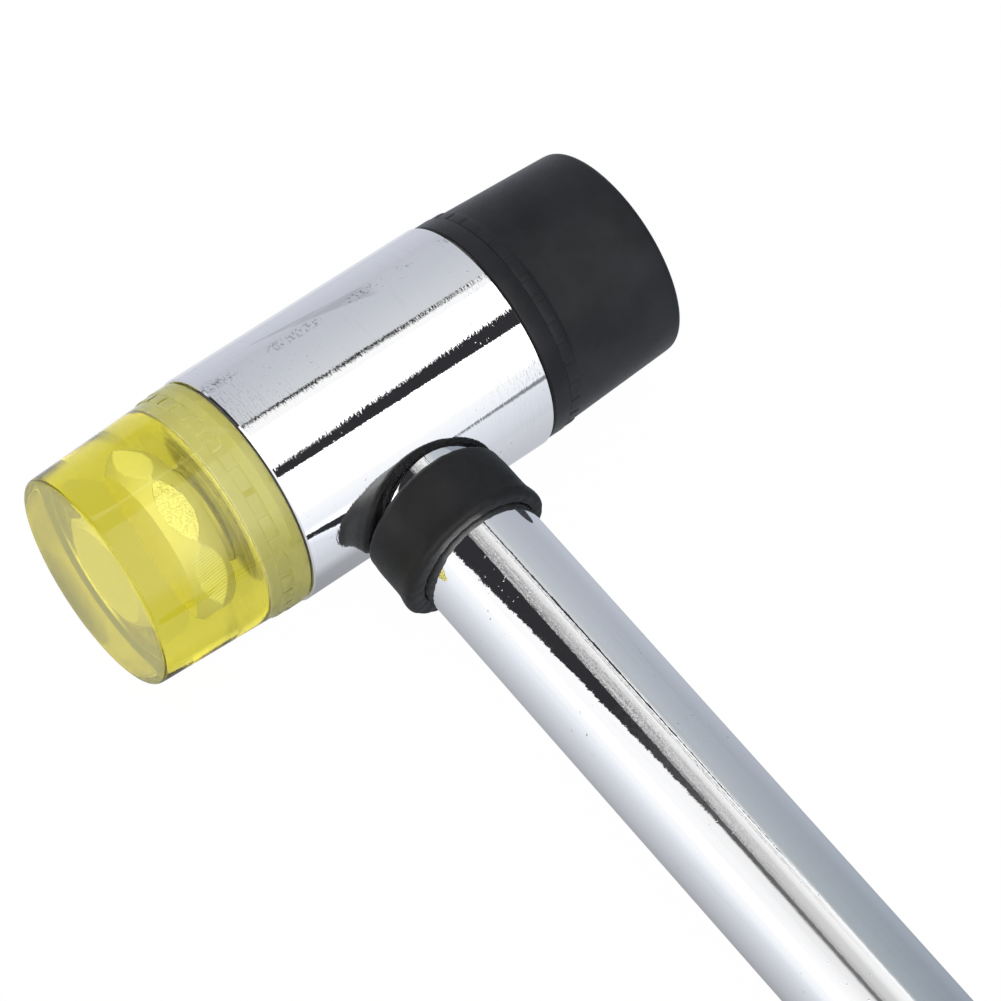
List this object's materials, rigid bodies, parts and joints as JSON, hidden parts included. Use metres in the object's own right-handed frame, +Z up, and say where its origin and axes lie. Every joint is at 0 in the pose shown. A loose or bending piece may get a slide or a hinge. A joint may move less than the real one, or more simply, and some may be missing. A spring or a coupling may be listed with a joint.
{
  "type": "soft face hammer",
  "caption": "Soft face hammer: chromed tube head with a clear yellow face and a black rubber face that screw off, on a chromed tube handle with a grip.",
  "frame": {"origin": "on the ground, at the middle of the hammer's box as it lies on its side", "axes": "+X along the head towards the black face, -Y along the handle towards the grip, +Z up"},
  "size_m": [0.0888, 0.2714, 0.035],
  "materials": {
    "chrome": "bright chrome plating on steel tube",
    "plug_steel": "turned steel",
    "bolt_zinc": "zinc plated steel",
    "clear_yellow": "clear yellow plastic, glossy outside",
    "black_rubber": "matte charcoal rubber",
    "washer_fibre": "dark pressed fibre",
    "collar_rubber": "matte black rubber",
    "grip_rubber": "matte black rubber, moulded"
  },
  "bodies": {
    "head_and_handle": {"head_tube": "chrome", "yellow_end_plug": "plug_steel", "black_end_plug": "plug_steel", "handle_tube": "chrome", "handle_collar": "collar_rubber", "grip_sleeve": "grip_rubber"},
    "yellow_washer": {"yellow_face_washer": "washer_fibre"},
    "yellow_face_body": {"yellow_face": "clear_yellow", "yellow_face_bolt": "bolt_zinc"},
    "black_washer": {"black_face_washer": "washer_fibre"},
    "black_face_body": {"black_face": "black_rubber", "black_face_bolt": "bolt_zinc"}
  },
  "joints": [
    {"name": "yellow_face_travel", "type": "slide", "parent": "head_and_handle", "child": "yellow_washer", "axis": [-1, 0, 0], "range_m": [0, 0.0135]},
    {"name": "yellow_face_turn", "type": "hinge", "parent": "yellow_washer", "child": "yellow_face_body", "pos_m": [-0.04445, 0.11823, 0.0175], "axis": [-1, 0, 0], "range_deg": [0, 3240]},
    {"name": "black_face_travel", "type": "slide", "parent": "head_and_handle", "child": "black_washer", "axis": [1, 0, 0], "range_m": [0, 0.0135]},
    {"name": "black_face_turn", "type": "hinge", "parent": "black_washer", "child": "black_face_body", "pos_m": [0.04445, 0.11823, 0.0175], "axis": [1, 0, 0], "range_deg": [0, 3240]}
  ],
  "couplings": [
    {"joint": "yellow_face_travel", "follows": "yellow_face_turn", "m_per_rad": 0.00023873},
    {"joint": "black_face_travel", "follows": "black_face_turn", "m_per_rad": 0.00023873}
  ]
}
